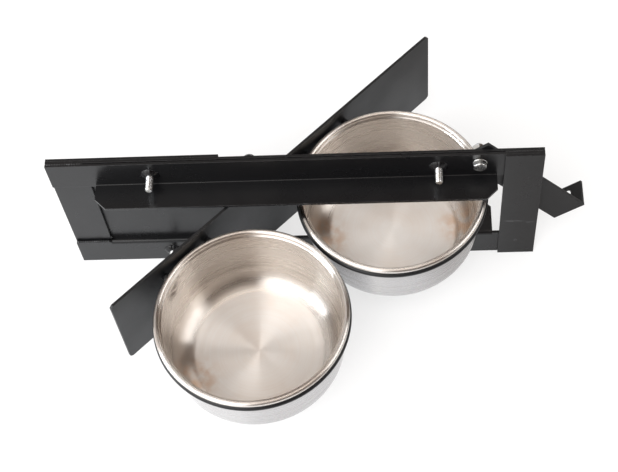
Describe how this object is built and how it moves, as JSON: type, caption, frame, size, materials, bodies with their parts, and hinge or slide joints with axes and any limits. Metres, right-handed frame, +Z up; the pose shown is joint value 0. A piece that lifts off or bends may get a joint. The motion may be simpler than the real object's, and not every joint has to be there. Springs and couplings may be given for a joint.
{
  "type": "swing-through twin bowl feeder",
  "caption": "Wall-framed animal feeder: a pivoting steel plate carries lift-out stainless bowls through the frame opening, with mounting studs and a drop latch.",
  "frame": {"origin": "middle of the four mounting studs, in the plane where the wall panel bears on their weld collars, 4 mm in front of the rails", "axes": "+X to the right along the rails, +Y to the back, away from the panel, +Z up along the pivot rod"},
  "size_m": [0.5656, 0.4353, 0.2067],
  "materials": {
    "black_coat": "satin black powder coat on mild steel",
    "stainless": "spun and brushed stainless steel",
    "zinc": "bright zinc-plated steel"
  },
  "bodies": {
    "frame": {"top_rail": "black_coat", "bottom_rail": "black_coat", "left_upright": "black_coat", "right_upright": "black_coat", "rear_bar": "black_coat", "back_plate": "black_coat", "frame_welds": "black_coat", "mount_studs": "zinc", "stud_collars": "black_coat", "pivot_lug": "black_coat", "pivot_rod": "black_coat", "pivot_washers": "zinc", "pivot_nut": "zinc", "latch_bolt": "zinc", "latch_washers": "zinc", "latch_nut": "zinc"},
    "swing_arm": {"swing_plate": "black_coat", "hinge_barrel": "black_coat", "left_ring": "black_coat", "right_ring": "black_coat", "swing_welds": "black_coat"},
    "latch": {"latch_lever": "black_coat"},
    "left_bowl": {"left_bowl": "stainless"},
    "right_bowl": {"right_bowl": "stainless"}
  },
  "joints": [
    {"name": "swing", "type": "hinge", "parent": "frame", "child": "swing_arm", "pos_m": [-0.0465, 0.018, 0], "axis": [0, 0, 1], "range_deg": [-41, 69]},
    {"name": "latch_drop", "type": "hinge", "parent": "frame", "child": "latch", "pos_m": [0.192, 0.0128, 0.086], "axis": [0, -1, 0], "range_deg": [0, 135]},
    {"name": "left_bowl_turn", "type": "hinge", "parent": "swing_arm", "child": "left_bowl", "pos_m": [-0.04332, -0.14287, 0.04], "axis": [0, 0, 1], "continuous": true},
    {"name": "right_bowl_turn", "type": "hinge", "parent": "swing_arm", "child": "right_bowl", "pos_m": [0.10093, 0.00138, 0.04], "axis": [0, 0, 1], "continuous": true}
  ]
}
